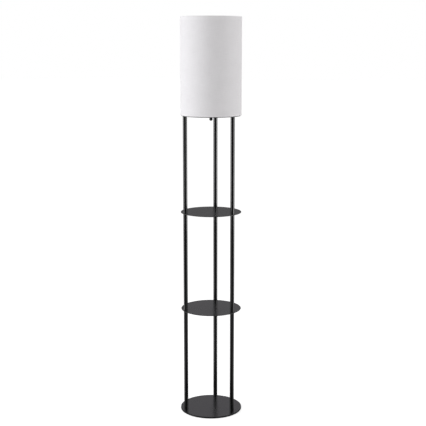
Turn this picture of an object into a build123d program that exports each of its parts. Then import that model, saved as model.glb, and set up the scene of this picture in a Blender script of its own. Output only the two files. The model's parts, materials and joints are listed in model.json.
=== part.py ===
"""Floor lamp with two round shelves over a round base, three posts and a drum shade. Millimetres, Z up.

The origin is on the floor at the middle of the base. The rear post stands on +Y, the two front posts
at 120 degrees to it, and the pull chain hangs towards the front.
"""

from build123d import *

import math
import os

# Base, shelves and the frame under the shade
base_radius = 126.5
base_thickness = 6.0
pad_radius = 14.0
pad_thickness = 1.5
shelf_radius = 123.0
shelf_thickness = 2.0
edge_break = 0.5
frame_rim_width = 20.0
frame_arm_width = 24.0
frame_hub_radius = 24.0
frame_fillet = 6.0
rim_length_match = 0.001

# Posts: one tube per bay and post
post_circle_radius = 110.5
post_radius = 8.5
post_wall = 1.2
lower_post_height = 426.0
middle_post_height = 402.0
upper_post_height = 389.0
rear_heading = 90.0
post_names = ["rear", "left", "right"]

# Threaded inserts, studs, hollow nipples and screws that join the posts
insert_height = 14.0
small_thread_radius = 3.0
stud_thread_radius = 4.0
nipple_thread_radius = 5.0
nipple_bore_radius = 3.4
thread_engagement = 12.0
screw_hole_clearance = 0.3
base_screw_head_radius = 5.8
base_screw_head_height = 3.0
base_screw_key_radius = 2.0
base_screw_key_depth = 1.8
top_screw_head_radius = 5.25
top_screw_head_height = 3.3
top_screw_round_share = 0.6
lock_nut_radius = 6.5
lock_nut_height = 4.0
nipple_end_above_nut = 1.5

# Mains lead inside the rear post, with its inlet bush low on the back
lead_radius = 2.3
lead_core_radius = 0.9
lead_core_offset = 1.08
terminal_offset = 8.91
terminal_distance = 4.13
lead_inlet_height = 45.0
lead_inlet_bend = 8.0
lead_inlet_straight = 1.0
lead_shift_height = 70.0
lead_shift_bend = 150.0
lead_shift_to_insert = 17.5
lead_top_bend = 10.0
lead_end_inset = 5.0
inlet_bush_bore_radius = 3.0
inlet_bush_neck_radius = 4.5
inlet_bush_flange_radius = 5.5
inlet_bush_stand_out = 2.0
inlet_bush_inner_length = 1.8
lead_to_bush_gap = 0.3

# Lamp holder on the hub
nut_across_flats = 14.0
nut_height = 4.0
nut_protrusion = 4.0
check_ring_radius = 9.0
check_ring_height = 2.5
cap_radius = 18.0
cap_wall = 1.2
cap_height = 28.0
cap_boss_radius = 8.0
cap_boss_height = 7.5
cap_shoulder = 4.0
cap_inlet_height = 14.0
cap_bush_neck_radius = 4.0
cap_bush_flange_radius = 5.5
cap_bush_stand_out = 1.6
cap_bush_inner_length = 1.3
lead_bush_clearance = 0.2
holder_body_radius = 16.2
holder_body_height = 24.0
shell_radius = 18.0
shell_wall = 0.8
shell_height = 54.0
sleeve_wall = 0.7
shoulder_radius = 23.0
shoulder_thickness = 3.0
shoulder_height = 26.0
holder_ring_radius = 22.0
holder_ring_height = 6.0
bulb_thread_radius = 13.0
bulb_thread_pitch = 3.6
bulb_thread_depth = 0.9
thread_clearance = 0.4
screw_shell_wall = 0.5
screw_shell_height = 24.0
contact_radius = 4.0
contact_thickness = 0.8
contact_tip_radius = 3.2
contact_end_radius = 1.6
contact_rise = 1.6

# One thread's outline, as shares of its pitch
thread_flank_start = 0.2
thread_crest_start = 0.4
thread_crest_end = 0.7
thread_flank_end = 0.9

# Pull switch in a chamber on the side of the holder
switch_heading = -80.5
chain_radius_from_axis = 28.0
chamber_reach = 35.0
chamber_width = 12.0
chamber_height = 22.0
chamber_wall = 2.5
chamber_floor = 3.0
chamber_roof = 1.25
lever_pin_radius = 1.25
lever_pin_distance = 16.5
lever_pin_height = 10.0
lever_running_clearance = 0.05
lever_hub_radius = 2.6
lever_hub_gap = 1.0
lever_width = 5.0
lever_thickness = 1.5
lever_tip_overhang = 2.7
lever_slot_width = 2.0
lever_swing = 20.0
lever_bead_gap = 0.4
spout_radius = 3.6
spout_bore_radius = 2.6
spout_length = 8.0
spout_lip = 1.0

# Ball chain and its ball
bead_radius = 1.6
bead_pitch = 4.4
chain_wire_radius = 0.6
plain_link_length = 14.0
ball_radius = 6.85
ball_gap = 4.6
ball_pocket_depth = 2.4

# Shade
shade_gap = 0.3
shade_height = 386.0
shade_radius = 122.0
fabric_thickness = 0.5
liner_thickness = 0.6
ring_wire_radius = 1.25
trim_thickness = 0.4
trim_height = 15.0
bottom_trim_height = 9.0
fitter_ring_thickness = 1.5
fitter_ring_clearance = 0.4
fitter_ring_width = 4.0
spoke_radius = 1.5
spoke_notch_clearance = 0.2
spoke_turns = [60.0, 180.0, 300.0]

# Bulb
bulb_radius = 30.0
bulb_length = 108.0
bulb_wall = 0.9
bulb_cap_height = 25.0
bulb_cap_wall = 0.4
bulb_neck_radius = 13.6
bulb_insulator_height = 3.0
bulb_contact_height = 1.2
bulb_contact_radius = 2.4
bulb_shoulder_angle = 25.0

# Levels that follow from the sizes above
base_bottom = pad_thickness
base_top = base_bottom + base_thickness
middle_shelf_bottom = base_top + lower_post_height
middle_shelf_top = middle_shelf_bottom + shelf_thickness
upper_shelf_bottom = middle_shelf_top + middle_post_height
upper_shelf_top = upper_shelf_bottom + shelf_thickness
frame_bottom = upper_shelf_top + upper_post_height
frame_top = frame_bottom + shelf_thickness
shade_bottom = frame_top + shade_gap
shade_top = shade_bottom + shade_height
cap_bottom = frame_top + check_ring_height
cap_top = cap_bottom + cap_height
holder_body_top = cap_top + holder_body_height
shoulder_bottom = cap_top + shoulder_height
shoulder_top = shoulder_bottom + shoulder_thickness
fitter_ring_top = shoulder_top + fitter_ring_thickness
lead_run_height = cap_bottom + cap_inlet_height
lever_pin_level = cap_top + lever_pin_height
liner_radius = shade_radius - fabric_thickness
liner_bore = liner_radius - liner_thickness
wire_circle_radius = liner_bore - ring_wire_radius
bulb_tail_length = bulb_cap_height / 3
insert_radius = post_radius - post_wall
frame_radius = post_circle_radius + post_radius
post_headings = {name: rear_heading + 360 * turn / len(post_names) for turn, name in enumerate(post_names)}
bays = {
    "lower": (base_top, middle_shelf_bottom),
    "middle": (middle_shelf_top, upper_shelf_bottom),
    "upper": (upper_shelf_top, frame_bottom),
}

NODES = {}


def cylinder(radius, bottom, top, place=(0.0, 0.0)):
    """A solid cylinder along Z between two levels."""
    body = Cylinder(radius, top - bottom, align=(Align.CENTER, Align.CENTER, Align.MIN))
    return Pos(place[0], place[1], bottom) * body


def tube(outer, inner, bottom, top, place=(0.0, 0.0)):
    """A tube along Z between two levels."""
    return cylinder(outer, bottom, top, place) - cylinder(inner, bottom, top, place)


def across(radius, start, end, height):
    """A cylinder along +Y from y = start to y = end at the given height."""
    body = Cylinder(radius, end - start, align=(Align.CENTER, Align.CENTER, Align.MIN))
    return Pos(0, start, height) * (Rot(-90, 0, 0) * body)


def block(x_range, y_range, z_range):
    """A box between two corners."""
    size = [high - low for low, high in (x_range, y_range, z_range)]
    body = Box(*size, align=(Align.MIN, Align.MIN, Align.MIN))
    return Pos(x_range[0], y_range[0], z_range[0]) * body


def turned(points):
    """A solid turned about Z from a closed outline of (radius, height) points."""
    outline = Plane.XZ * Polyline(*points, close=True)
    return revolve(make_face(outline), Axis.Z)


def post_place(name):
    """The middle of a post, seen from above."""
    heading = math.radians(post_headings[name])
    return (post_circle_radius * math.cos(heading), post_circle_radius * math.sin(heading))


def group(solids):
    """Separate solids that share a node."""
    return Compound(children=[Compound(solid.solids()) for solid in solids])


def stud_radius_at(name):
    """The rear post is joined by hollow nipples that let the lead through, the front ones by studs."""
    return nipple_thread_radius if name == "rear" else stud_thread_radius


def make_base():
    """A heavy round plate with countersunk holes underneath for the post screws."""
    plate = cylinder(base_radius, base_bottom, base_top)
    plate = chamfer(plate.edges().group_by(Axis.Z)[-1], edge_break)
    for name in post_headings:
        place = post_place(name)
        plate -= cylinder(small_thread_radius + screw_hole_clearance, base_bottom, base_top, place)
        seat = Cone(
            base_screw_head_radius + screw_hole_clearance,
            small_thread_radius + screw_hole_clearance,
            base_screw_head_height,
            align=(Align.CENTER, Align.CENTER, Align.MIN),
        )
        plate -= Pos(place[0], place[1], base_bottom) * seat
    NODES["base_plate"] = plate
    pads = [cylinder(pad_radius, 0, pad_thickness, post_place(name)) for name in post_headings]
    NODES["base_pads"] = group(pads)


def base_screw(place):
    """A countersunk screw that holds a lower post down on the base."""
    head = Cone(
        base_screw_head_radius,
        small_thread_radius,
        base_screw_head_height,
        align=(Align.CENTER, Align.CENTER, Align.MIN),
    )
    screw = Pos(place[0], place[1], base_bottom) * head
    shank_bottom = base_bottom + base_screw_head_height
    screw += cylinder(small_thread_radius, shank_bottom, base_top + thread_engagement, place)
    key = cylinder(base_screw_key_radius, base_bottom, base_bottom + base_screw_key_depth, place)
    return screw - key


def make_shelf(node, bottom):
    """A thin round shelf, clamped between the posts above and below it."""
    shelf = cylinder(shelf_radius, bottom, bottom + shelf_thickness)
    shelf = chamfer(shelf.edges(), edge_break)
    for name in post_headings:
        hole = stud_radius_at(name) + screw_hole_clearance
        shelf -= cylinder(hole, bottom, bottom + shelf_thickness, post_place(name))
    NODES[node] = shelf


def make_top_frame():
    """The pressed plate on top of the posts: a rim, three arms and a hub for the lamp holder."""
    inner = frame_radius - frame_rim_width
    rim = Circle(frame_radius) - Circle(inner)
    plan = rim + Circle(frame_hub_radius)
    for heading in post_headings.values():
        arm = Pos(inner / 2, 0) * Rectangle(inner + frame_fillet, frame_arm_width)
        plan += Rot(0, 0, heading) * arm
    corners = [v for v in plan.vertices() if v.center().length < (inner + frame_radius) / 2]
    plan = fillet(corners, frame_fillet)
    plate = Pos(0, 0, frame_bottom) * extrude(plan, shelf_thickness)
    rim_length = 2 * math.pi * frame_radius
    rim_edges = [e for e in plate.edges() if math.isclose(e.length, rim_length, rel_tol=rim_length_match)]
    plate = chamfer(rim_edges, edge_break)
    plate -= cylinder(nipple_thread_radius + screw_hole_clearance, frame_bottom, frame_top)
    for name in post_headings:
        thread = nipple_thread_radius if name == "rear" else small_thread_radius
        plate -= cylinder(thread + screw_hole_clearance, frame_bottom, frame_top, post_place(name))
    NODES["top_frame"] = plate


def make_posts():
    """Nine tubes, with a threaded insert in each end."""
    for bay, (bottom, top) in bays.items():
        inserts = []
        for name in post_headings:
            place = post_place(name)
            post = tube(post_radius, insert_radius, bottom, top, place)
            if bay == "lower" and name == "rear":
                hole = across(inlet_bush_neck_radius, 0, 2 * post_radius, lead_inlet_height)
                post -= Pos(place[0], place[1], 0) * hole
            NODES[f"{bay}_post_{name}"] = post
            low = small_thread_radius if bay == "lower" else stud_radius_at(name)
            high = stud_radius_at(name)
            if bay == "upper" and name != "rear":
                high = small_thread_radius
            inserts.append(tube(insert_radius, low, bottom, bottom + insert_height, place))
            inserts.append(tube(insert_radius, high, top - insert_height, top, place))
        NODES[f"{bay}_post_inserts"] = group(inserts)


def top_screw(place):
    """A button-head screw that holds the top frame down on a front post."""
    head = cylinder(top_screw_head_radius, frame_top, frame_top + top_screw_head_height, place)
    head = fillet(head.edges().group_by(Axis.Z)[-1], top_screw_head_height * top_screw_round_share)
    socket_bottom = frame_top + top_screw_head_height - base_screw_key_depth
    head -= cylinder(base_screw_key_radius, socket_bottom, frame_top + top_screw_head_height, place)
    shank = cylinder(small_thread_radius, frame_bottom - thread_engagement, frame_top, place)
    return head + shank


def make_fasteners():
    """Screws, studs and hollow nipples along the posts."""
    fronts = [name for name in post_headings if name != "rear"]
    rear = post_place("rear")
    NODES["base_screws"] = group([base_screw(post_place(name)) for name in post_headings])
    studs = []
    nipples = []
    for bottom in (middle_shelf_bottom, upper_shelf_bottom):
        low = bottom - thread_engagement
        high = bottom + shelf_thickness + thread_engagement
        studs += [cylinder(stud_thread_radius, low, high, post_place(name)) for name in fronts]
        nipples.append(tube(nipple_thread_radius, nipple_bore_radius, low, high, rear))
    nipple_top = frame_top + lock_nut_height + nipple_end_above_nut
    low = frame_bottom - thread_engagement
    nipples.append(tube(nipple_thread_radius, nipple_bore_radius, low, nipple_top, rear))
    NODES["shelf_studs"] = group(studs)
    NODES["rear_nipples"] = group(nipples)
    NODES["top_screws"] = group([top_screw(post_place(name)) for name in fronts])
    nut = cylinder(lock_nut_radius, frame_top, frame_top + lock_nut_height, rear)
    nut = chamfer(nut.edges().group_by(Axis.Z)[-1], edge_break)
    nut -= cylinder(nipple_thread_radius, frame_top, frame_top + lock_nut_height, rear)
    NODES["top_lock_nut"] = nut


def saddle_bush(seat_radius, flange, neck, bore, stand_out, inner_length, wall, height):
    """A bush in the side of a tube, with its flange shaped to the tube. It points along +Y."""
    collar = across(flange, 0, seat_radius + stand_out, height)
    collar -= cylinder(seat_radius, height - 2 * flange, height + 2 * flange)
    inner_end = seat_radius - wall - inner_length
    bush = collar + across(neck, inner_end, seat_radius + stand_out / 2, height)
    return bush - across(bore, inner_end, seat_radius + stand_out, height)


def make_lead():
    """The inlet bush, the lead up the rear post, and its two cores in the holder's cap."""
    rear = post_place("rear")
    bush = saddle_bush(
        post_radius,
        inlet_bush_flange_radius,
        inlet_bush_neck_radius,
        inlet_bush_bore_radius,
        inlet_bush_stand_out,
        inlet_bush_inner_length,
        post_wall,
        lead_inlet_height,
    )
    NODES["inlet_bush"] = Pos(rear[0], rear[1], 0) * bush

    start = rear[1] + insert_radius - inlet_bush_inner_length - lead_to_bush_gap
    climb = start - lead_inlet_straight - lead_inlet_bend
    shift_top = middle_shelf_bottom - insert_height - lead_shift_to_insert
    lead_end = cap_radius - cap_wall - lead_end_inset
    path = FilletPolyline(
        (0, start, lead_inlet_height),
        (0, climb, lead_inlet_height),
        (0, climb, shift_top - lead_shift_height),
        (0, rear[1], shift_top),
        (0, rear[1], lead_run_height),
        (0, lead_end, lead_run_height),
        radius=[lead_inlet_bend, lead_shift_bend, lead_shift_bend, lead_top_bend],
    )
    NODES["inner_lead"] = sweep_round(path, lead_radius)
    print("inner lead length", round(path.length, 1))

    cores = []
    core_bend = 2 * lead_core_radius
    for side in (-1, 1):
        beside = side * lead_core_offset
        terminal = (side * terminal_offset, terminal_distance)
        core = FilletPolyline(
            (beside, lead_end, lead_run_height),
            (beside, lead_end - 2 * core_bend, lead_run_height),
            (terminal[0], terminal[1], cap_top - 3 * core_bend),
            (terminal[0], terminal[1], cap_top),
            radius=core_bend,
        )
        cores.append(sweep_round(core, lead_core_radius))
    NODES["lead_cores"] = group(cores)


def sweep_round(path, radius):
    """A round rod along a path."""
    section = Plane(origin=path @ 0, z_dir=path % 0) * Circle(radius)
    return sweep(section, path=path)


def make_holder_mount():
    """The hollow nipple that carries the lamp holder on the frame's hub, with its nut and ring."""
    nipple_bottom = frame_bottom - nut_height - nut_protrusion
    nipple_top = cap_bottom + cap_boss_height
    NODES["holder_nipple"] = tube(nipple_thread_radius, nipple_bore_radius, nipple_bottom, nipple_top)
    nut_plan = RegularPolygon(nut_across_flats / 2, 6, major_radius=False) - Circle(nipple_thread_radius)
    NODES["holder_nut"] = Pos(0, 0, frame_bottom - nut_height) * extrude(nut_plan, nut_height)
    NODES["check_ring"] = tube(check_ring_radius, nipple_thread_radius, frame_top, cap_bottom)


def make_holder_cap():
    """The cup under the lamp holder, with a side inlet and its bush for the lead."""
    outer = turned(
        [
            (0, cap_bottom),
            (cap_radius - cap_shoulder, cap_bottom),
            (cap_radius, cap_bottom + cap_shoulder),
            (cap_radius, cap_top),
            (0, cap_top),
        ]
    )
    inner_radius = cap_radius - cap_wall
    inner = turned(
        [
            (0, cap_bottom + cap_wall),
            (inner_radius - cap_shoulder, cap_bottom + cap_wall),
            (inner_radius, cap_bottom + cap_wall + cap_shoulder),
            (inner_radius, cap_top),
            (0, cap_top),
        ]
    )
    cap = outer - inner
    cap += cylinder(cap_boss_radius, cap_bottom, cap_bottom + cap_boss_height)
    cap -= cylinder(nipple_thread_radius, cap_bottom, cap_bottom + cap_boss_height)
    cap -= across(cap_bush_neck_radius, 0, 2 * cap_radius, lead_run_height)
    NODES["holder_cap"] = cap
    NODES["cap_bush"] = saddle_bush(
        cap_radius,
        cap_bush_flange_radius,
        cap_bush_neck_radius,
        lead_radius + lead_bush_clearance,
        cap_bush_stand_out,
        cap_bush_inner_length,
        cap_wall,
        lead_run_height,
    )


def at_switch(solid):
    """Turns a solid made along +X towards the pull switch's side."""
    return Rot(0, 0, switch_heading) * solid


def make_switch():
    """The insulating body with the pull switch's chamber, its lever, pin and chain spout."""
    half_width = chamber_width / 2
    chamber = (0, chamber_reach), (-half_width, half_width), (cap_top, cap_top + chamber_height)
    inside_half = half_width - chamber_wall
    inside = (
        (lever_pin_distance - lever_hub_radius - lever_hub_gap, chamber_reach - chamber_wall),
        (-inside_half, inside_half),
        (cap_top + chamber_floor, cap_top + chamber_height - chamber_roof),
    )
    spout_bottom = cap_top - spout_length
    body = block(*chamber) - block(*inside)
    body -= cylinder(spout_bore_radius, cap_top, cap_top + chamber_floor, (chain_radius_from_axis, 0))
    pin_hole = Rot(-90, 0, 0) * Cylinder(lever_pin_radius, chamber_width)
    pin_hole = Pos(lever_pin_distance, 0, lever_pin_level) * pin_hole
    body = at_switch(body - pin_hole) + cylinder(holder_body_radius, cap_top, holder_body_top)
    body -= at_switch(block(*inside))
    body -= at_switch(pin_hole)
    NODES["switch_body"] = body
    NODES["lever_pin"] = at_switch(pin_hole)

    spout = turned(
        [
            (spout_bore_radius, cap_top),
            (spout_radius, cap_top),
            (spout_radius, spout_bottom + spout_lip),
            (spout_radius + spout_lip, spout_bottom),
            (spout_bore_radius + spout_lip, spout_bottom),
            (spout_bore_radius, spout_bottom + spout_lip),
        ]
    )
    NODES["chain_spout"] = at_switch(Pos(chain_radius_from_axis, 0, 0) * spout)


def make_lever():
    """The switch lever at rest: its forked end lifts the chain's top bead."""
    reach = chain_radius_from_axis - lever_pin_distance + lever_tip_overhang
    half_width = lever_width / 2
    half_slot = lever_slot_width / 2
    half_thickness = lever_thickness / 2
    arm = block((0, reach), (-half_width, half_width), (-half_thickness, half_thickness))
    hub = Rot(-90, 0, 0) * Cylinder(lever_hub_radius, lever_width)
    slot_start = reach - 2 * lever_tip_overhang
    slot = block((slot_start, reach), (-half_slot, half_slot), (-lever_width, lever_width))
    bore = Rot(-90, 0, 0) * Cylinder(lever_pin_radius + lever_running_clearance, 2 * lever_width)
    lever = (arm + hub) - slot - bore
    lever = Rot(0, -lever_swing, 0) * lever
    NODES["switch_lever"] = at_switch(Pos(lever_pin_distance, 0, lever_pin_level) * lever)


def make_chain():
    """The ball chain from the lever's fork down to the ball, which hangs just under the frame."""
    reach = chain_radius_from_axis - lever_pin_distance
    swing = math.radians(lever_swing)
    bead_distance = lever_thickness / 2 + bead_radius + lever_bead_gap
    top_bead = lever_pin_level + (bead_distance + reach * math.sin(swing)) / math.cos(swing)
    ball_level = frame_bottom - ball_gap - ball_radius
    end_bead = ball_level + ball_radius - ball_pocket_depth
    hanging = top_bead - plain_link_length - end_bead
    pitches = max(1, round(hanging / bead_pitch))
    pitch = hanging / pitches
    place = (chain_radius_from_axis, 0)
    chain = cylinder(chain_wire_radius, end_bead, top_bead, place)
    levels = [top_bead] + [end_bead + index * pitch for index in range(pitches + 1)]
    for level in levels:
        chain += Pos(place[0], place[1], level) * Sphere(bead_radius)
    NODES["pull_chain"] = at_switch(chain)

    ball = Sphere(ball_radius)
    pocket = Pos(0, 0, ball_radius - ball_pocket_depth) * Sphere(bead_radius)
    mouth = cylinder(chain_wire_radius, ball_radius - ball_pocket_depth, ball_radius)
    ball = ball - pocket - mouth
    NODES["chain_ball"] = at_switch(Pos(place[0], place[1], ball_level) * ball)
    print("chain levels", round(top_bead, 2), round(end_bead, 2), "pitch", round(pitch, 3))


def thread_outline(radius, bottom, top, open_mouth=False):
    """The (radius, height) points up the outside of a rounded screw thread, in step with the holder."""
    root = radius - bulb_thread_depth
    first = math.ceil((bottom - holder_body_top) / bulb_thread_pitch)
    last = math.floor((top - holder_body_top) / bulb_thread_pitch)
    points = [(root, bottom)]
    for turn in range(first, last):
        level = holder_body_top + turn * bulb_thread_pitch
        points.append((root, level + thread_flank_start * bulb_thread_pitch))
        points.append((radius, level + thread_crest_start * bulb_thread_pitch))
        points.append((radius, level + thread_crest_end * bulb_thread_pitch))
        points.append((root, level + thread_flank_end * bulb_thread_pitch))
    if not open_mouth:
        return points + [(root, top)]
    mouth = holder_body_top + last * bulb_thread_pitch
    points.append((root, mouth + thread_flank_start * bulb_thread_pitch))
    points.append((radius, mouth + thread_crest_start * bulb_thread_pitch))
    return points + [(radius, top)]


def make_holder_shell():
    """The holder's shell, sleeve, screw shell, centre contact and the ring that clamps the shade."""
    shell_bore = shell_radius - shell_wall
    shell = tube(shell_radius, shell_bore, cap_top, cap_top + shell_height)
    shell += tube(shoulder_radius, shell_bore, shoulder_bottom, shoulder_top)
    half_width = chamber_width / 2
    notch = (0, chamber_reach), (-half_width, half_width), (cap_top, cap_top + chamber_height)
    shell -= at_switch(block(*notch))
    NODES["holder_shell"] = shell

    sleeve_bottom = holder_body_top
    sleeve_top = sleeve_bottom + screw_shell_height
    NODES["insulating_sleeve"] = tube(shell_bore, shell_bore - sleeve_wall, sleeve_bottom, sleeve_top)
    thread_bore = bulb_thread_radius + thread_clearance
    inner = thread_outline(thread_bore, sleeve_bottom, sleeve_top, open_mouth=True)
    outer = [(radius + screw_shell_wall, height) for radius, height in inner]
    NODES["screw_shell"] = turned(inner + outer[::-1])
    contact_foot = cylinder(contact_radius, sleeve_bottom, sleeve_bottom + contact_thickness)
    contact_top = sleeve_bottom + contact_thickness + contact_rise
    contact_tip = Cone(
        contact_tip_radius,
        contact_end_radius,
        contact_rise,
        align=(Align.CENTER, Align.CENTER, Align.MIN),
    )
    contact_tip = Pos(0, 0, sleeve_bottom + contact_thickness) * contact_tip
    NODES["centre_contact"] = contact_foot + contact_tip

    ring = tube(holder_ring_radius, shell_radius, fitter_ring_top, fitter_ring_top + holder_ring_height)
    NODES["holder_ring"] = chamfer(ring.edges().group_by(Axis.Z)[-1], edge_break)
    return contact_top


def make_bulb(contact_top):
    """A frosted lamp bulb standing on the centre contact."""
    contact_end = contact_top + bulb_contact_height
    insulator_end = contact_end + bulb_insulator_height
    cap_end = contact_top + bulb_cap_height
    glass_end = contact_top + bulb_length
    NODES["bulb_contact"] = cylinder(bulb_contact_radius, contact_top, contact_end)
    insulator = Cone(
        contact_radius,
        bulb_thread_radius - bulb_thread_depth - bulb_cap_wall,
        bulb_insulator_height,
        align=(Align.CENTER, Align.CENTER, Align.MIN),
    )
    NODES["bulb_insulator"] = Pos(0, 0, contact_end) * insulator
    outer = thread_outline(bulb_thread_radius, insulator_end, cap_end)
    inner = [(radius - bulb_cap_wall, height) for radius, height in outer]
    NODES["bulb_cap"] = turned(outer + inner[::-1])

    globe_level = glass_end - bulb_radius
    neck = bulb_thread_radius - bulb_thread_depth - bulb_cap_wall
    outside = bulb_outline(0.0, cap_end, globe_level, glass_end, neck)
    inside = bulb_outline(bulb_wall, cap_end, globe_level, glass_end, neck)
    NODES["bulb_glass"] = outside - inside


def bulb_outline(inset, cap_end, globe_level, glass_end, neck):
    """The bulb's turned shape, shrunk by an inset for its inside. Its tail fills the metal cap."""
    globe = bulb_radius - inset
    tail = cap_end - bulb_tail_length + inset
    neck_radius = bulb_neck_radius - inset
    tangent = math.radians(bulb_shoulder_angle)
    shoulder = (globe * math.cos(tangent), globe_level - globe * math.sin(tangent))
    lines = [
        Line((0, tail), (neck - inset, tail)),
        Line((neck - inset, tail), (neck - inset, cap_end + inset)),
        Line((neck - inset, cap_end + inset), (neck_radius, cap_end + inset)),
        Spline(
            (neck_radius, cap_end + inset),
            shoulder,
            tangents=[(0, 1), (math.sin(tangent), math.cos(tangent))],
        ),
        ThreePointArc(
            shoulder,
            (globe * math.cos(tangent), globe_level + globe * math.sin(tangent)),
            (0, glass_end - inset),
        ),
        Line((0, glass_end - inset), (0, tail)),
    ]
    outline = Plane.XZ * Wire(lines)
    return revolve(make_face(outline), Axis.Z)


def torus_at(level):
    """One of the shade's wire rings."""
    return Pos(0, 0, level) * Torus(wire_circle_radius, ring_wire_radius)


def trim(edge, direction, height):
    """Fabric tape folded over the shade's edge: outside, over the edge and round the wire inside."""
    outer = shade_radius + trim_thickness
    inner = wire_circle_radius - ring_wire_radius
    fold = edge + direction * trim_thickness
    return turned(
        [
            (shade_radius, edge - direction * height),
            (outer, edge - direction * height),
            (outer, fold),
            (inner - trim_thickness, fold),
            (inner - trim_thickness, edge - direction * height),
            (inner, edge - direction * height),
            (inner, edge),
            (shade_radius, edge),
        ]
    )


def make_shade():
    """A drum shade: wire rings, stiff liner, fabric skin, edge tapes and the fitter with its spokes."""
    low = shade_bottom + trim_thickness
    high = shade_top - trim_thickness
    NODES["shade_liner"] = tube(liner_radius, liner_bore, low, high)
    NODES["shade_fabric"] = tube(shade_radius, liner_radius, low, high)
    NODES["shade_top_ring"] = torus_at(high - ring_wire_radius)
    NODES["shade_top_trim"] = trim(high, 1, trim_height)

    fitter_bore = shell_radius + fitter_ring_clearance
    fitter_outer = fitter_bore + fitter_ring_width
    ring_level = low + ring_wire_radius
    fitter = tube(fitter_outer, fitter_bore, shoulder_top, fitter_ring_top)
    fitter += torus_at(ring_level)
    start = Vector(fitter_bore + fitter_ring_width / 2, 0, shoulder_top + fitter_ring_thickness / 2)
    end = Vector(wire_circle_radius, 0, ring_level)
    spoke = sweep_round(Line(start, end), spoke_radius)
    spoke -= cylinder(fitter_bore, shoulder_bottom, fitter_ring_top + holder_ring_height)
    spoke -= cylinder(shoulder_radius, shoulder_bottom, shoulder_top)
    spoke -= cylinder(shoulder_radius, fitter_ring_top, fitter_ring_top + holder_ring_height)
    notch = sweep_round(Line(start, end), spoke_radius + spoke_notch_clearance)
    bottom_trim = trim(low, -1, bottom_trim_height)
    for turn in spoke_turns:
        fitter += Rot(0, 0, switch_heading + turn) * spoke
        bottom_trim -= Rot(0, 0, switch_heading + turn) * notch
    NODES["shade_fitter"] = fitter
    NODES["shade_bottom_trim"] = bottom_trim


make_base()
make_shelf("middle_shelf", middle_shelf_bottom)
make_shelf("upper_shelf", upper_shelf_bottom)
make_top_frame()
make_posts()
make_fasteners()
make_lead()
make_holder_mount()
make_holder_cap()
make_switch()
make_lever()
make_chain()
make_bulb(make_holder_shell())
make_shade()

os.makedirs("parts", exist_ok=True)
for node, shape in NODES.items():
    export_step(shape, f"parts/{node}.step")
print("levels", base_top, middle_shelf_top, upper_shelf_top, frame_top, shade_bottom, shade_top)
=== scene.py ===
"""The shelf floor lamp as it looks: materials, the shade's cloth, felt feet, light and camera.

Lengths are in metres, and Z is up.
"""

import json
import math

import bmesh
import bpy
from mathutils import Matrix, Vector, noise


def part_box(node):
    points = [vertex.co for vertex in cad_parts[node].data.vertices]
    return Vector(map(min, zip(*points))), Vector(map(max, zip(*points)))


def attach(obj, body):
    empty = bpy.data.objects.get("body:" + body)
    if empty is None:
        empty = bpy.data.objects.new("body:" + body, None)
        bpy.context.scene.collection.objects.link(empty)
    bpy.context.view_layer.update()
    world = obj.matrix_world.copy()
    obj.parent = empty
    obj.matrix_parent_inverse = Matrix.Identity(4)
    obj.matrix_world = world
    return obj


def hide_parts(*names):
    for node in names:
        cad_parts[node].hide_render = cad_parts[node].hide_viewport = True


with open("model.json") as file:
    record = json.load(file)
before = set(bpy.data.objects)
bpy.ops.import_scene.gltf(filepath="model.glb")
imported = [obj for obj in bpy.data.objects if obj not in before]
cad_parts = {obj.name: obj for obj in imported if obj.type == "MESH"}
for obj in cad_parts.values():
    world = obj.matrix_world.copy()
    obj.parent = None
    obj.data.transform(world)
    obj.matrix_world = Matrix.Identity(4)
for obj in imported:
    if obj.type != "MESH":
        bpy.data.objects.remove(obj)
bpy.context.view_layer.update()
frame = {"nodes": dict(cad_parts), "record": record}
nodes = frame["nodes"]
MM = 0.001
FULL_TURN = 2 * math.pi

# ---------------------------------------------------------------- node helpers


def new_material(name):
    """A material, its node tree and the Principled shader in the tree."""
    made = bpy.data.materials.new(name)
    made.use_nodes = True
    tree = made.node_tree
    return made, tree, tree.nodes["Principled BSDF"]


def set_inputs(node, **values):
    """Sets input sockets by name, with _ for a space."""
    for name, value in values.items():
        node.inputs[name.replace("_", " ")].default_value = value


def add(tree, kind, operation=None, **values):
    """A node with its operation, if it has one, and its input sockets set."""
    node = tree.nodes.new(kind)
    if operation:
        node.operation = operation
    set_inputs(node, **values)
    return node


def link(tree, source, target):
    """Joins an output socket to an input socket."""
    tree.links.new(source, target)


def stretched(tree, vector, stretch):
    """A vector scaled along each axis."""
    mapping = add(tree, "ShaderNodeMapping", Scale=stretch)
    link(tree, vector, mapping.inputs["Vector"])
    return mapping.outputs["Vector"]


def object_coordinates(tree, stretch=(1.0, 1.0, 1.0)):
    """Object coordinates in metres, scaled along each axis."""
    place = add(tree, "ShaderNodeTexCoord")
    return stretched(tree, place.outputs["Object"], stretch)


def axes(tree, vector):
    """The X, Y and Z of a vector."""
    split = add(tree, "ShaderNodeSeparateXYZ")
    link(tree, vector, split.inputs["Vector"])
    return split.outputs["X"], split.outputs["Y"], split.outputs["Z"]


def vector_maths(tree, operation, output, vector, fixed=(0, 0, 0)):
    """An output of a vector math node, from a socket and a fixed vector."""
    node = add(tree, "ShaderNodeVectorMath", operation)
    link(tree, vector, node.inputs[0])
    node.inputs[1].default_value = fixed
    return node.outputs[output]


def noise_value(tree, vector, scale, detail=3.0, roughness=0.55):
    """Noise from 0 to 1, with features of about 1 / scale metres."""
    node = add(tree, "ShaderNodeTexNoise", Scale=scale, Detail=detail, Roughness=roughness)
    link(tree, vector, node.inputs["Vector"])
    return node.outputs["Fac"]


def between(tree, value, at_start, at_end, start=0.3, end=0.7):
    """A number that goes from at_start to at_end as value goes from start to end."""
    node = add(tree, "ShaderNodeMapRange", From_Min=start, From_Max=end, To_Min=at_start, To_Max=at_end)
    link(tree, value, node.inputs["Value"])
    return node.outputs["Result"]


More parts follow.
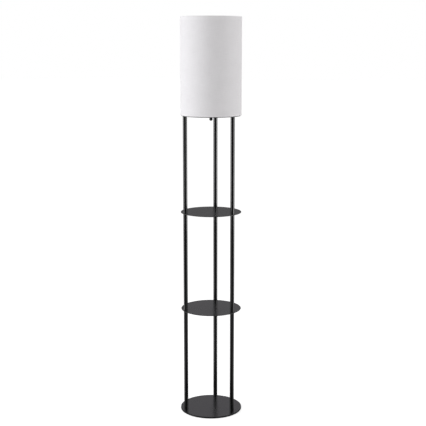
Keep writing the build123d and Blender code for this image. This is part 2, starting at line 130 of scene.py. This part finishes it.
def colours(tree, value, at_start, at_end, start=0.3, end=0.7):
    """A colour that goes from at_start to at_end as value goes from start to end."""
    node = add(tree, "ShaderNodeValToRGB")
    first, last = node.color_ramp.elements
    first.position, last.position = start, end
    first.color, last.color = (*at_start, 1), (*at_end, 1)
    link(tree, value, node.inputs["Fac"])
    return node.outputs["Color"]


def bump(tree, shader, height, strength, distance):
    """Bends a shader's normal by a height. A height of 1 is this distance in metres."""
    node = add(tree, "ShaderNodeBump", Strength=strength, Distance=distance)
    link(tree, height, node.inputs["Height"])
    link(tree, node.outputs["Normal"], shader.inputs["Normal"])


def mix(tree, share, first, second):
    """A shader that goes from first to second as share goes from 0 to 1."""
    node = add(tree, "ShaderNodeMixShader")
    link(tree, share, node.inputs["Fac"])
    link(tree, first, node.inputs[1])
    link(tree, second, node.inputs[2])
    return node.outputs["Shader"]


def maths(tree, operation, *values):
    """A math node. Each operand is a socket or a number."""
    node = add(tree, "ShaderNodeMath", operation)
    for slot_number, value in enumerate(values):
        if isinstance(value, (int, float)):
            node.inputs[slot_number].default_value = value
        else:
            link(tree, value, node.inputs[slot_number])
    return node.outputs["Value"]


def repeated(tree, operation, result, *others):
    """One operation on any number of operands, from the left."""
    for other in others:
        result = maths(tree, operation, result, other)
    return result


def total(tree, *values):
    """The operands added up."""
    return repeated(tree, "ADD", *values)


def product(tree, *values):
    """The operands multiplied with each other."""
    return repeated(tree, "MULTIPLY", *values)


def largest(tree, *values):
    """The largest of the operands."""
    return repeated(tree, "MAXIMUM", *values)


def rest(tree, share):
    """What a share leaves of 1."""
    return maths(tree, "SUBTRACT", 1.0, share)


def choose(tree, switch, value, other):
    """The value where the switch is 1, and the other where it is 0."""
    return total(tree, product(tree, switch, value), product(tree, rest(tree, switch), other))


# ---------------------------------------------------------------- materials


def coat_material(name, low, high, roughness, specular, texture):
    """Black powder coat: faint orange peel, fine grain, and slow changes in gloss."""
    made, tree, shader = new_material(name)
    place = object_coordinates(tree)
    cloud = noise_value(tree, place, scale=14, detail=2)
    peel = noise_value(tree, place, scale=420, detail=2, roughness=0.5)
    grain = noise_value(tree, place, scale=2600, detail=1, roughness=0.5)
    link(tree, colours(tree, cloud, low, high), shader.inputs["Base Color"])
    spread = 0.03
    slow_change = between(tree, cloud, roughness - spread, roughness + spread)
    fine_change = between(tree, grain, -spread, spread)
    link(tree, total(tree, slow_change, fine_change), shader.inputs["Roughness"])
    set_inputs(shader, Specular_IOR_Level=specular)
    grain_height = 0.35
    height = total(tree, peel, product(tree, grain, grain_height))
    bump(tree, shader, height, strength=texture, distance=0.12 * MM)
    return made


def plastic_material(name, colour, roughness):
    """Moulded plastic with a fine spark-eroded grain."""
    made, tree, shader = new_material(name)
    place = object_coordinates(tree)
    grain = noise_value(tree, place, scale=1800, detail=2)
    cloud = noise_value(tree, place, scale=60, detail=2)
    lighter = tuple(channel * 1.25 + 0.002 for channel in colour)
    link(tree, colours(tree, cloud, colour, lighter), shader.inputs["Base Color"])
    rough = between(tree, grain, roughness - 0.05, roughness + 0.06)
    link(tree, rough, shader.inputs["Roughness"])
    bump(tree, shader, grain, strength=0.3, distance=0.06 * MM)
    return made


def metal_material(name, low, high, roughness, fineness):
    """Plated or brushed metal. Its marks run round Z, and along Z they are finer by this factor."""
    made, tree, shader = new_material(name)
    marks = noise_value(tree, object_coordinates(tree, (1, 1, fineness)), scale=900, detail=4)
    cloud = noise_value(tree, object_coordinates(tree), scale=90, detail=2)
    link(tree, colours(tree, cloud, low, high), shader.inputs["Base Color"])
    rough = between(tree, marks, roughness - 0.08, roughness + 0.1)
    link(tree, rough, shader.inputs["Roughness"])
    set_inputs(shader, Metallic=1.0)
    bump(tree, shader, marks, strength=0.2, distance=0.04 * MM)
    return made


def felt_material():
    """Pressed felt: matted fibres, dark grey."""
    made, tree, shader = new_material("felt")
    # Finer along Y, so that the fibres lie along X
    across = object_coordinates(tree, (1, 3.5, 1))
    fibres = noise_value(tree, across, scale=900, detail=5, roughness=0.7)
    tufts = noise_value(tree, object_coordinates(tree), scale=700, detail=4, roughness=0.7)
    mixed = product(tree, total(tree, fibres, tufts), 0.5)
    grey = colours(tree, mixed, (0.02, 0.02, 0.022), (0.075, 0.073, 0.078))
    link(tree, grey, shader.inputs["Base Color"])
    set_inputs(shader, Roughness=0.95, Sheen_Weight=0.4, Sheen_Roughness=0.6)
    bump(tree, shader, mixed, strength=0.8, distance=0.4 * MM)
    return made


def woven(tree, around, up, pitch):
    """The height of a plain weave, whose threads go over and under each other, from two lengths."""
    turns = FULL_TURN / (2 * pitch)
    warp = maths(tree, "SINE", product(tree, around, 2 * turns))
    weft = maths(tree, "SINE", product(tree, up, 2 * turns))
    checks = product(
        tree,
        maths(tree, "SINE", product(tree, around, turns)),
        maths(tree, "SINE", product(tree, up, turns)),
    )
    warp_on_top = maths(tree, "GREATER_THAN", checks, 0.0)
    return choose(tree, warp_on_top, maths(tree, "ABSOLUTE", warp), maths(tree, "ABSOLUTE", weft))


def cloth_material(name, low, high, radius, pitch):
    """Plain-woven cloth round a drum: slubs along and across, and the weave in its bump."""
    made, tree, shader = new_material(name)
    place = add(tree, "ShaderNodeTexCoord")
    x, y, up = axes(tree, place.outputs["Object"])
    # The angle is 0 at the front, so that it jumps at the back, where the seam is
    angle = maths(tree, "ARCTAN2", x, product(tree, y, -1.0))
    around = product(tree, angle, radius)
    combined = add(tree, "ShaderNodeCombineXYZ")
    link(tree, around, combined.inputs["X"])
    link(tree, up, combined.inputs["Y"])
    flat = combined.outputs["Vector"]
    # Slubs are long, so the noise's coordinates are scaled down along the thread
    slub_scale = 0.035
    threads = [
        noise_value(tree, stretched(tree, flat, stretch), scale=900, detail=2, roughness=0.5)
        for stretch in ((1.0, slub_scale, 1.0), (slub_scale, 1.0, 1.0))
    ]
    slubs = product(tree, total(tree, *threads), 0.5)
    cloud = noise_value(tree, flat, scale=18, detail=3)
    weave = woven(tree, around, up, pitch)
    slub_tone, cloud_tone, weave_tone = 0.75, 0.25, 0.03
    tone = total(
        tree,
        product(tree, slubs, slub_tone),
        product(tree, cloud, cloud_tone),
        between(tree, weave, -weave_tone, weave_tone, start=0.0, end=1.0),
    )
    link(tree, colours(tree, tone, low, high, start=0.38, end=0.62), shader.inputs["Base Color"])
    set_inputs(shader, Roughness=0.85, Specular_IOR_Level=0.25, Sheen_Weight=0.15, Sheen_Roughness=0.5)
    weave_height, slub_height = 0.6, 0.8
    height = total(tree, product(tree, weave, weave_height), product(tree, slubs, slub_height))
    bump(tree, shader, height, strength=0.35, distance=0.25 * MM)
    return made


def liner_material():
    """The shade's stiff white liner: smooth matt sheet with a faint mottle."""
    made, tree, shader = new_material("liner_sheet")
    mottle = noise_value(tree, object_coordinates(tree), scale=220, detail=3)
    off_white = colours(tree, mottle, (0.80, 0.795, 0.78), (0.86, 0.855, 0.845))
    link(tree, off_white, shader.inputs["Base Color"])
    link(tree, between(tree, mottle, 0.42, 0.5), shader.inputs["Roughness"])
    bump(tree, shader, mottle, strength=0.1, distance=0.1 * MM)
    return made


def frosted_material():
    """Acid-frosted bulb glass: milky, with a soft gloss."""
    made, tree, shader = new_material("frosted_glass")
    mottle = noise_value(tree, object_coordinates(tree), scale=500, detail=3)
    milky = colours(tree, mottle, (0.84, 0.845, 0.84), (0.9, 0.9, 0.895))
    link(tree, milky, shader.inputs["Base Color"])
    link(tree, between(tree, mottle, 0.38, 0.46), shader.inputs["Roughness"])
    set_inputs(shader, Coat_Weight=0.2, Coat_Roughness=0.35)
    bump(tree, shader, mottle, strength=0.08, distance=0.05 * MM)
    return made


def fibre_material():
    """Pressed fibre board, for the sleeve inside the lamp holder."""
    made, tree, shader = new_material("pressed_fibre")
    # Finer along Z, so that the strands lie round the sleeve
    across = object_coordinates(tree, (1, 1, 5))
    strands = noise_value(tree, across, scale=500, detail=4, roughness=0.65)
    brown = colours(tree, strands, (0.26, 0.19, 0.12), (0.46, 0.37, 0.26))
    link(tree, brown, shader.inputs["Base Color"])
    set_inputs(shader, Roughness=0.9)
    bump(tree, shader, strands, strength=0.5, distance=0.1 * MM)
    return made


black_coat = coat_material(
    "black_powder_coat",
    low=(0.009, 0.0088, 0.0095),
    high=(0.011, 0.0108, 0.0115),
    roughness=0.23,
    specular=0.4,
    texture=0.1,
)
tube_coat = coat_material(
    "black_tube_coat",
    low=(0.002, 0.002, 0.0022),
    high=(0.003, 0.003, 0.0033),
    roughness=0.16,
    specular=0.8,
    texture=0.06,
)
black_plastic = plastic_material("black_plastic", colour=(0.012, 0.012, 0.013), roughness=0.42)
lacquer = plastic_material("black_lacquer", colour=(0.006, 0.006, 0.0065), roughness=0.24)
sheath = plastic_material("lead_sheath", colour=(0.02, 0.02, 0.02), roughness=0.55)
core_sheath = plastic_material("core_sheath", colour=(0.3, 0.14, 0.06), roughness=0.45)
dark_glass = plastic_material("insulator_glass", colour=(0.02, 0.02, 0.022), roughness=0.15)
white_wire = plastic_material("white_coated_wire", colour=(0.72, 0.72, 0.71), roughness=0.38)
zinc = metal_material(
    "zinc_plate",
    low=(0.56, 0.57, 0.59),
    high=(0.68, 0.69, 0.71),
    roughness=0.32,
    fineness=6,
)
brass = metal_material(
    "brushed_brass",
    low=(0.62, 0.44, 0.19),
    high=(0.76, 0.56, 0.27),
    roughness=0.3,
    fineness=14,
)
bulb_metal = metal_material(
    "bulb_cap_metal",
    low=(0.66, 0.66, 0.67),
    high=(0.78, 0.78, 0.79),
    roughness=0.3,
    fineness=10,
)
felt = felt_material()
liner = liner_material()
frosted = frosted_material()
fibre = fibre_material()
cloth = cloth_material(
    "white_cloth",
    low=(0.78, 0.763, 0.775),
    high=(0.832, 0.814, 0.827),
    radius=122 * MM,
    pitch=0.55 * MM,
)
tape_cloth = cloth_material(
    "white_tape",
    low=(0.80, 0.784, 0.796),
    high=(0.85, 0.833, 0.845),
    radius=122.4 * MM,
    pitch=0.45 * MM,
)

finishes = {
    "black_coat": black_coat,
    "felt": felt,
    "zinc_steel": zinc,
    "black_plastic": black_plastic,
    "lead_sheath": sheath,
    "core_sheath": core_sheath,
    "brass": brass,
    "fibre": fibre,
    "white_wire": white_wire,
    "liner": liner,
    "white_fabric": cloth,
    "frosted_glass": frosted,
    "bulb_metal": bulb_metal,
    "black_glass": dark_glass,
}
for part in frame["record"]["subparts"]:
    node = nodes[part["node"]]
    node.data.materials.clear()
    node.data.materials.append(finishes[part["material_slot"]])
# The tubes are glossier than the discs, and the chain's ball is glossier than the other plastic
for name, node in nodes.items():
    if "_post_" in name and not name.endswith("inserts"):
        node.data.materials[0] = tube_coat
nodes["chain_ball"].data.materials[0] = lacquer

# ---------------------------------------------------------------- the shade's cloth

shade_low, shade_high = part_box("shade_fabric")
shade_radius = shade_high.x
# The cloth ends inside the tapes' rolled beads
cloth_inset = 0.5 * MM
cloth_bottom, cloth_top = shade_low.z + cloth_inset, shade_high.z - cloth_inset
fabric_thickness = 0.5 * MM
seam_overlap = 12 * MM
# The seam is at the back
seam_heading = math.radians(90)
# The spokes are placed by their turn in degrees from the switch's chain
chain_heading = -80.5
spoke_headings = [math.radians(chain_heading + turn) for turn in (60, 180, 300)]


def ease(share):
    """A rise from 0 to 1 with a level start and a level end."""
    return share * share * (3 - 2 * share)


def around_z(radius, angle, height):
    """The point at a radius and an angle round the Z axis."""
    return (radius * math.cos(angle), radius * math.sin(angle), height)


def ripple(angle, height, size, wave):
    """A smooth unevenness, with waves of about this length, that closes round the drum."""
    place = Vector((math.cos(angle), math.sin(angle), 0)) * (shade_radius / wave)
    return size * noise.noise(place + Vector((0, 0, height / wave)))


def mesh_object(name, vertices, faces, material):
    """A smooth-shaded mesh in the scene."""
    data = bpy.data.meshes.new(name)
    data.from_pydata(vertices, [], faces)
    data.materials.append(material)
    data.polygons.foreach_set("use_smooth", [True] * len(data.polygons))
    made = bpy.data.objects.new(name, data)
    bpy.context.scene.collection.objects.link(made)
    return made


def make_fabric():
    """The skin: one piece of cloth round the drum, its end lapped over its start at the back."""
    length = FULL_TURN * shade_radius + seam_overlap
    # The lapped end rises over this length, and clears the cloth under it by this gap
    rise_length = 7 * MM
    lap_gap = 0.03 * MM
    ripple_size, ripple_wave = 0.09 * MM, 70 * MM
    columns, rows = 420, 40
    # The ripple fades out over these rows, so that the edges stay round
    fade_rows = 3
    inner, outer = [], []
    for i in range(columns + 1):
        run = length * i / columns
        angle = seam_heading + run / shade_radius
        risen = min(1.0, max(0.0, (run - (length - seam_overlap - rise_length)) / rise_length))
        lift = ease(risen) * (fabric_thickness + lap_gap)
        for j in range(rows + 1):
            height = cloth_bottom + (cloth_top - cloth_bottom) * j / rows
            fade = min(1.0, j / fade_rows, (rows - j) / fade_rows)
            radius = shade_radius + lift + fade * ripple(angle, height, ripple_size, ripple_wave)
            outer.append(around_z(radius, angle, height))
            inner.append(around_z(radius - fabric_thickness, angle, height))
    count = len(outer)
    faces = []

    def at(column, row):
        """The outer vertex at a column and a row. The inner one comes count later."""
        return column * (rows + 1) + row

    def close_edge(start, end, flip):
        """Joins the outer and the inner side along the cloth's edge."""
        face = (start, count + start, count + end, end)
        faces.append(face[::-1] if flip else face)

    for i in range(columns):
        for j in range(rows):
            a, b, c, d = at(i, j), at(i + 1, j), at(i + 1, j + 1), at(i, j + 1)
            faces.append((a, b, c, d))
            faces.append((count + d, count + c, count + b, count + a))
        for j, flip in ((0, False), (rows, True)):
            close_edge(at(i, j), at(i + 1, j), flip)
    for i, flip in ((0, True), (columns, False)):
        for j in range(rows):
            close_edge(at(i, j), at(i, j + 1), flip)
    made = mesh_object("shade_skin", outer + inner, faces, cloth)
    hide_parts("shade_fabric")
    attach(made, "lamp")


def tape_outline(outer, height):
    """The folded tape in section, from outside to inside: radius, and depth from the shade's edge."""
    bead_rise = 0.5 * MM
    bead_outer = outer + bead_rise
    inside = 118.0 * MM
    middle = (bead_outer + inside) / 2
    half = (bead_outer - inside) / 2
    outline = [(outer, share * height) for share in (1.0, 0.98, 0.85, 0.65, 0.5)]
    # The outer leaf swells to the rolled bead from this depth, in half widths of the bead
    swell_start = 1.7
    for share in (0.25, 0.5, 0.75):
        depth = half * (swell_start - (swell_start - 1) * share)
        outline.append((outer + ease(share) * (bead_outer - outer), depth))
    roll_steps = 12
    for k in range(roll_steps + 1):
        turn = math.pi * k / roll_steps
        outline.append((middle + half * math.cos(turn), half * (1 - math.sin(turn))))
    # The inner leaf ends this much short of the outer one
    cut_back = 0.6 * MM
    inner_leaf = height - half - cut_back
    outline += [(inside, half + share * inner_leaf) for share in (0.25, 0.5, 0.75, 1.0)]
    return outline


def make_tape(name, node, direction, spokes):
    """An edge tape: glued on the cloth, rolled over the shade's edge and wire, and down the inside.

    Its direction is 1 at the shade's top and -1 at the bottom.
    """
    low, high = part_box(node)
    outer = high.x
    edge, free = (high.z, low.z) if direction > 0 else (low.z, high.z)
    outline = tape_outline(outer, abs(edge - free))
    thickness = 0.4 * MM
    # The tape's two cut edges wander
    wander_size, wander_wave, wander_spacing = 0.15 * MM, 30 * MM, 10 * MM
    # Its surface follows a noise that is sampled on a drum of this radius, one step up for each row
    noise_size, noise_radius, noise_step = 0.05 * MM, 5, 0.7
    columns = 720
    rows = len(outline)
    vertices, faces = [], []
    for i in range(columns):
        angle = FULL_TURN * i / columns
        for j, (radius, depth) in enumerate(outline):
            if j in (0, rows - 1):
                depth += ripple(angle, j * wander_spacing, wander_size, wander_wave)
            radius += noise_size * noise.noise(Vector(around_z(noise_radius, angle, j * noise_step)))
            vertices.append(around_z(radius, angle, edge - direction * depth))
    # The inner leaf is slit where a spoke comes through
    slit_half_angle = 0.02
    slit_radius = 119.3 * MM
    slit_depth = 0.8 * MM
    for i in range(columns):
        n = (i + 1) % columns
        middle_angle = FULL_TURN * (i + 0.5) / columns
        turns = [(middle_angle - spoke + math.pi) % FULL_TURN - math.pi for spoke in spokes]
        at_spoke = any(abs(turn) < slit_half_angle for turn in turns)
        for j in range(rows - 1):
            (radius, depth), (next_radius, next_depth) = outline[j], outline[j + 1]
            on_inner_leaf = radius + next_radius < 2 * slit_radius and depth + next_depth > 2 * slit_depth
            if at_spoke and on_inner_leaf:
                continue
            face = (i * rows + j, n * rows + j, n * rows + j + 1, i * rows + j + 1)
            faces.append(face if direction > 0 else face[::-1])
    made = mesh_object(name, vertices, faces, tape_cloth)
    solid = made.modifiers.new("thickness", "SOLIDIFY")
    solid.thickness = thickness
    solid.offset = -1
    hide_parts(node)
    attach(made, "lamp")


make_fabric()
make_tape("shade_top_tape", "shade_top_trim", direction=1, spokes=[])
make_tape("shade_bottom_tape", "shade_bottom_trim", direction=-1, spokes=spoke_headings)

# ---------------------------------------------------------------- felt feet

# A foot in section, from the middle of its underside to the middle of its top, in shares of its
# radius and of its thickness
foot_outline = [
    (0.0, 0.0),
    (0.35, 0.0),
    (0.7, 0.0),
    (0.9, 0.0),
    (0.965, 0.06),
    (0.99, 0.25),
    (1.0, 0.5),
    (0.995, 0.8),
    (0.98, 1.0),
    (0.7, 1.0),
    (0.3, 1.0),
    (0.0, 1.0),
]
foot_headings = [math.radians(heading) for heading in (90, 210, 330)]


def make_feet():
    """Felt discs under the base, rounded where they meet the floor."""
    low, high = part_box("base_pads")
    radius = 14 * MM
    thickness = high.z
    # The front feet stand half the circle's radius before the middle, and the rear foot a whole one
    # behind it
    circle_radius = (high.y - low.y - 2 * radius) / 1.5
    # Outside rim_share of the radius the felt is uneven, by up to fuzz_share of the radius. The
    # noise is sampled on a circle of fuzz_radius
    rim_share = 0.9
    fuzz_share, fuzz_radius = 0.02, 6
    merge_distance = 0.001 * MM
    columns = 48
    for number, heading in enumerate(foot_headings):
        centre = Vector(around_z(1, heading, 0)) * circle_radius
        vertices, faces = [], []
        for share, level in foot_outline:
            for i in range(columns):
                angle = FULL_TURN * i / columns
                fuzz = 0.0
                if share > rim_share:
                    place = Vector(around_z(fuzz_radius, angle, number + level))
                    fuzz = fuzz_share * noise.noise(place)
                x, y, height = around_z(radius * min(share + fuzz, 1.0), angle, thickness * level)
                vertices.append((centre.x + x, centre.y + y, height))
        for j in range(len(foot_outline) - 1):
            ring, next_ring = j * columns, (j + 1) * columns
            for i in range(columns):
                n = (i + 1) % columns
                faces.append((ring + i, next_ring + i, next_ring + n, ring + n))
        foot = mesh_object(f"felt_foot_{number}", vertices, faces, felt)
        clean = bmesh.new()
        clean.from_mesh(foot.data)
        bmesh.ops.remove_doubles(clean, verts=clean.verts, dist=merge_distance)
        bmesh.ops.recalc_face_normals(clean, faces=clean.faces)
        clean.to_mesh(foot.data)
        clean.free()
        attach(foot, "lamp")
    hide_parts("base_pads")


make_feet()

# ---------------------------------------------------------------- light, floor and camera

camera_heading = math.radians(9.5)
camera_distance = 3.8
camera_height = 1.497
camera_tilt = math.radians(9.91)
camera_pan = math.radians(0.12)
camera_lens = 80.04
camera_sensor_width = 36
floor_glow = 0.55
to_camera = (math.sin(camera_heading), -math.cos(camera_heading), 0)
lamp_middle = Vector((0, 0, 0.95))
white = (1, 1, 1)


def make_world():
    """White to the camera. Reflections see pale walls, dark low down, and a dim room behind the camera."""
    world = bpy.data.worlds.new("studio")
    bpy.context.scene.world = world
    world.use_nodes = True
    tree = world.node_tree
    back = tree.nodes["Background"]
    path = add(tree, "ShaderNodeLightPath")
    direction = add(tree, "ShaderNodeTexCoord").outputs["Generated"]
    aim = vector_maths(tree, "DOT_PRODUCT", "Value", direction, to_camera)
    up = axes(tree, direction)[2]
    room = between(tree, aim, start=0.55, end=0.88, at_start=1.0, at_end=0.04)
    wall = between(tree, up, start=0.08, end=0.6, at_start=0.05, at_end=0.9)
    # Only the lamp's underside sees the light from below the floor
    below = between(tree, up, start=-0.3, end=-0.02, at_start=0.5, at_end=0.0)
    reflected = largest(tree, product(tree, room, wall), below)
    # Matt surfaces get more light from the sides than from above
    plain = between(tree, up, start=0.1, end=0.9, at_start=0.78, at_end=0.51)
    shiny = largest(tree, path.outputs["Is Glossy Ray"], path.outputs["Is Transmission Ray"])
    # High up the walls are faintly violet in reflections
    raised = between(tree, up, start=0.15, end=0.36, at_start=0.0, at_end=1.0)
    tint = colours(tree, product(tree, shiny, raised), white, (0.967, 0.936, 1.0), start=0.0, end=1.0)
    link(tree, tint, back.inputs["Color"])
    light = choose(tree, shiny, reflected, plain)
    link(tree, choose(tree, path.outputs["Is Camera Ray"], 1.0, light), back.inputs["Strength"])


def floor_material():
    """Pale paint, white to the camera, with painted shade where reflections see it near the lamp. It is
    clear from below.
    """
    made, tree, shader = new_material("floor_paint")
    grain = noise_value(tree, object_coordinates(tree), scale=30, detail=3)
    link(tree, colours(tree, grain, (0.79, 0.79, 0.79), (0.81, 0.81, 0.81)), shader.inputs["Base Color"])
    set_inputs(shader, Roughness=0.9, Specular_IOR_Level=0.0, Emission_Color=(*white, 1))
    path = add(tree, "ShaderNodeLightPath")
    camera_ray, glossy_ray = path.outputs["Is Camera Ray"], path.outputs["Is Glossy Ray"]
    seen = largest(tree, camera_ray, glossy_ray, path.outputs["Is Transmission Ray"])
    link(tree, product(tree, seen, floor_glow), shader.inputs["Emission Strength"])
    # In reflections it is pale out to the sides, and painted shade makes it dim before the lamp, behind it
    # and close to it
    geometry = add(tree, "ShaderNodeNewGeometry")
    reach = vector_maths(tree, "LENGTH", "Value", geometry.outputs["Position"])
    way = vector_maths(tree, "NORMALIZE", "Vector", geometry.outputs["Position"])
    aim = vector_maths(tree, "DOT_PRODUCT", "Value", way, to_camera)
    before = between(tree, aim, start=0.3, end=0.75, at_start=1.0, at_end=0.03)
    behind = between(tree, aim, start=-0.85, end=-0.2, at_start=0.05, at_end=1.0)
    away = between(tree, reach, start=0.12, end=0.55, at_start=0.03, at_end=1.0)
    painted_shade_share = product(tree, rest(tree, product(tree, before, behind, away)), glossy_ray)
    # A dark matt paint, mixed in for reflections only: painted shade, and near the base a painted shadow
    dark = add(tree, "ShaderNodeBsdfDiffuse", Color=(0.02, 0.02, 0.02, 1))
    paint = mix(tree, painted_shade_share, shader.outputs["BSDF"], dark.outputs["BSDF"])
    # From below it is clear, and under the base it lets light up to the lamp's underside
    clear = add(tree, "ShaderNodeBsdfTransparent")
    margin = 0.5 * MM
    under_base = maths(tree, "LESS_THAN", reach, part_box("base_plate")[1].x + margin)
    lets_through = product(tree, under_base, rest(tree, camera_ray))
    clear_share = largest(tree, geometry.outputs["Backfacing"], lets_through)
    surface = mix(tree, clear_share, paint, clear.outputs["BSDF"])
    link(tree, surface, tree.nodes["Material Output"].inputs["Surface"])
    return made


def make_floor():
    """A wide floor, just below the feet, that keeps the lamp's shadow."""
    level = -0.05 * MM
    half_width = 40
    corners = [(x * half_width, y * half_width, level) for x, y in ((-1, -1), (1, -1), (1, 1), (-1, 1))]
    floor = mesh_object("floor", corners, [(0, 1, 2, 3)], floor_material())


def area_lamp(name, heading, distance, height, size, radiance, tint=white, gloss_only=False):
    """A soft box that faces the lamp. Its heading is clockwise from the camera's side, seen from above."""
    data = bpy.data.lights.new(name, "AREA")
    data.shape = "RECTANGLE"
    data.size, data.size_y = size
    data.energy = radiance * math.pi * size[0] * size[1]
    data.color = tint
    lamp = bpy.data.objects.new(name, data)
    bpy.context.scene.collection.objects.link(lamp)
    turn = camera_heading - math.radians(heading)
    spot = Vector((math.sin(turn) * distance, -math.cos(turn) * distance, height))
    lamp.location = spot
    lamp.rotation_euler = (lamp_middle - spot).to_track_quat("-Z", "Y").to_euler()
    lamp.visible_camera = False
    lamp.visible_diffuse = not gloss_only


def make_camera():
    """The photo's camera: tilted down, with no lens shift, so that other views hold the lamp too."""
    data = bpy.data.cameras.new("camera")
    data.sensor_width = camera_sensor_width
    data.lens = camera_lens
    camera = bpy.data.objects.new("camera", data)
    bpy.context.scene.collection.objects.link(camera)
    camera.location = (camera_distance * to_camera[0], camera_distance * to_camera[1], camera_height)
    camera.rotation_euler = (math.radians(90) - camera_tilt, 0, camera_heading - camera_pan)
    bpy.context.scene.camera = camera


make_world()
make_floor()
area_lamp(
    "left_box",
    heading=78,
    distance=2.6,
    height=1.5,
    size=(1.8, 2.4),
    radiance=2.92,
    tint=(0.965, 0.98, 1.0),
)
area_lamp(
    "right_box",
    heading=-88,
    distance=2.9,
    height=1.4,
    size=(1.2, 2.2),
    radiance=2.35,
)
area_lamp(
    "right_strip",
    heading=-68,
    distance=2.6,
    height=1.4,
    size=(1.4, 2.4),
    radiance=3.0,
    gloss_only=True,
)
make_camera()
bpy.context.scene.view_settings.view_transform = "Standard"
